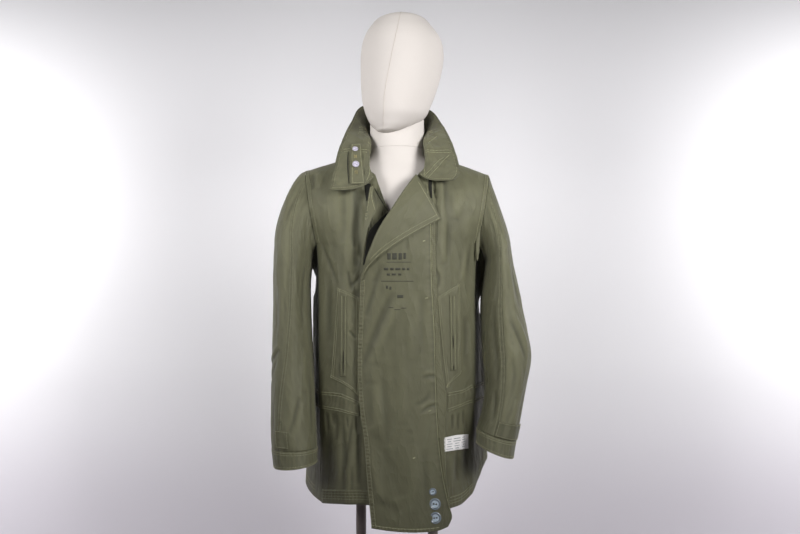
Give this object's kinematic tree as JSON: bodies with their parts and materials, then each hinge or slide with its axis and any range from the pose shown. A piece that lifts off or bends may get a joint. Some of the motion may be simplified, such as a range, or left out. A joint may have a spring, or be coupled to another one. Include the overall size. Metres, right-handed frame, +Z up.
{
  "type": "windbreaker on a dress form",
  "caption": "Olive cotton windbreaker with a wide overlap front, open lapel and raised collar, on a limbless dress form with an egg head and stand.",
  "frame": {"origin": "centre of the stand base's underside, on the floor", "axes": "+Z up, -Y the garment's front, +X the wearer's left"},
  "size_m": [0.5531, 0.34, 1.35],
  "materials": {
    "shell_cloth": "plain-woven olive cotton, matt, lightly worn",
    "label_cloth": "white woven label, matt",
    "button_blue": "glossy blue-grey moulded button",
    "button_pale": "glossy pale lilac moulded button",
    "form_linen": "cream linen cover, matt",
    "stand_steel": "dark brown painted steel, satin"
  },
  "bodies": {
    "root": {"front_right": "shell_cloth", "front_left": "shell_cloth", "overlap_panel": "shell_cloth", "back": "shell_cloth", "sleeve_right_front": "shell_cloth", "sleeve_right_back": "shell_cloth", "sleeve_left_front": "shell_cloth", "sleeve_left_back": "shell_cloth", "cuff_right": "shell_cloth", "cuff_left": "shell_cloth", "cuff_tab_right": "shell_cloth", "cuff_tab_left": "shell_cloth", "collar": "shell_cloth", "lapel_left": "shell_cloth", "strip_right": "shell_cloth", "throat_tab": "shell_cloth", "waist_casing_front_right": "shell_cloth", "waist_casing_front_left": "shell_cloth", "waist_casing_back": "shell_cloth", "pocket_right": "shell_cloth", "pocket_left": "shell_cloth", "pocket_welt_right": "shell_cloth", "pocket_welt_left": "shell_cloth", "label": "label_cloth", "button_overlap_1": "button_blue", "button_overlap_2": "button_blue", "button_overlap_3": "button_blue", "button_collar_1": "button_pale", "button_collar_2": "button_pale", "form_torso": "form_linen", "form_neck": "form_linen", "form_head": "form_linen", "stand_post_right": "stand_steel", "stand_post_left": "stand_steel", "stand_base": "stand_steel"}
  },
  "joints": []
}
